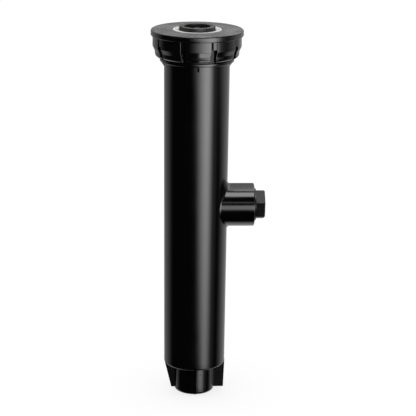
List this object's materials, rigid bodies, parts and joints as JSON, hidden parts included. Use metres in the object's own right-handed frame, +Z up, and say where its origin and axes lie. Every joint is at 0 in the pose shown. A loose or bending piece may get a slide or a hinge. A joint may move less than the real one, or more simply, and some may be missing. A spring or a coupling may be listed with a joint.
{
  "type": "pop up sprinkler",
  "caption": "Pop-up spray sprinkler head with a spring-returned riser, adjustable nozzle, screw cap, bottom inlet and plugged side inlet.",
  "frame": {"origin": "centre of the bottom inlet's mouth", "axes": "+Z up along the riser's axis, +X out of the side inlet"},
  "size_m": [0.0722, 0.0574, 0.238],
  "materials": {
    "case_plastic": "glossy black moulded plastic",
    "cap_plastic": "black moulded plastic, fine texture on the top face",
    "plug_plastic": "black moulded plastic",
    "seal_elastomer": "soft pale elastomer",
    "inner_plastic": "black moulded plastic",
    "stem_plastic": "glossy black moulded plastic",
    "ratchet_plastic": "grey acetal",
    "piston_plastic": "white acetal",
    "filter_plastic": "natural plastic",
    "nozzle_plastic": "black moulded plastic",
    "foot_rubber": "black rubber",
    "spring_steel": "stainless spring wire",
    "screen_steel": "stainless screen",
    "screw_steel": "stainless"
  },
  "bodies": {
    "case": {"body_case": "case_plastic", "spring_seat_ring": "inner_plastic", "retract_spring": "spring_steel"},
    "ratchet": {"ratchet_ring": "ratchet_plastic"},
    "riser": {"riser_stem": "stem_plastic", "ratchet_retainer": "ratchet_plastic", "foot_seal": "foot_rubber", "foot_seal_retainer": "inner_plastic", "regulator_seat": "inner_plastic", "regulator_housing": "inner_plastic", "regulator_spring": "spring_steel", "filter_frame": "filter_plastic", "filter_mesh": "screen_steel", "nozzle_base": "nozzle_plastic", "nozzle_deflector": "nozzle_plastic"},
    "piston": {"regulator_piston": "piston_plastic", "regulator_oring": "foot_rubber"},
    "collar": {"arc_collar": "nozzle_plastic"},
    "adjuster": {"radius_screw": "screw_steel"},
    "seal": {"wiper_seal": "seal_elastomer"},
    "cap": {"cap": "cap_plastic"},
    "plug": {"side_plug": "plug_plastic"}
  },
  "joints": [
    {"name": "riser_slide", "type": "slide", "parent": "case", "child": "ratchet", "axis": [0, 0, 1], "range_m": [0, 0.1524], "stiffness_N_per_m": 110, "springref_m": -0.12, "deforming": ["retract_spring"]},
    {"name": "riser_spin", "type": "hinge", "parent": "ratchet", "child": "riser", "pos_m": [0, 0, 0.03], "axis": [0, 0, 1], "continuous": true},
    {"name": "regulator_slide", "type": "slide", "parent": "riser", "child": "piston", "axis": [0, 0, -1], "range_m": [0, 0.0025], "stiffness_N_per_m": 1500, "springref_m": -0.002, "deforming": ["regulator_spring"]},
    {"name": "arc_turn", "type": "hinge", "parent": "riser", "child": "collar", "pos_m": [0, 0, 0.235], "axis": [0, 0, 1], "range_deg": [0, 330]},
    {"name": "radius_screw_turn", "type": "hinge", "parent": "riser", "child": "adjuster", "pos_m": [0, 0, 0.23], "axis": [0, 0, -1], "range_deg": [0, 1080]},
    {"name": "cap_lift", "type": "slide", "parent": "case", "child": "seal", "axis": [0, 0, 1], "range_m": [0, 0.012]},
    {"name": "cap_turn", "type": "hinge", "parent": "seal", "child": "cap", "pos_m": [0, 0, 0.226], "axis": [0, 0, 1], "range_deg": [0, 1080]},
    {"name": "plug_out", "type": "slide", "parent": "case", "child": "plug", "axis": [1, 0, 0], "range_m": [0, 0.016]}
  ],
  "couplings": [
    {"joint": "cap_turn", "follows": "cap_lift", "rad_per_m": 1570.8}
  ]
}
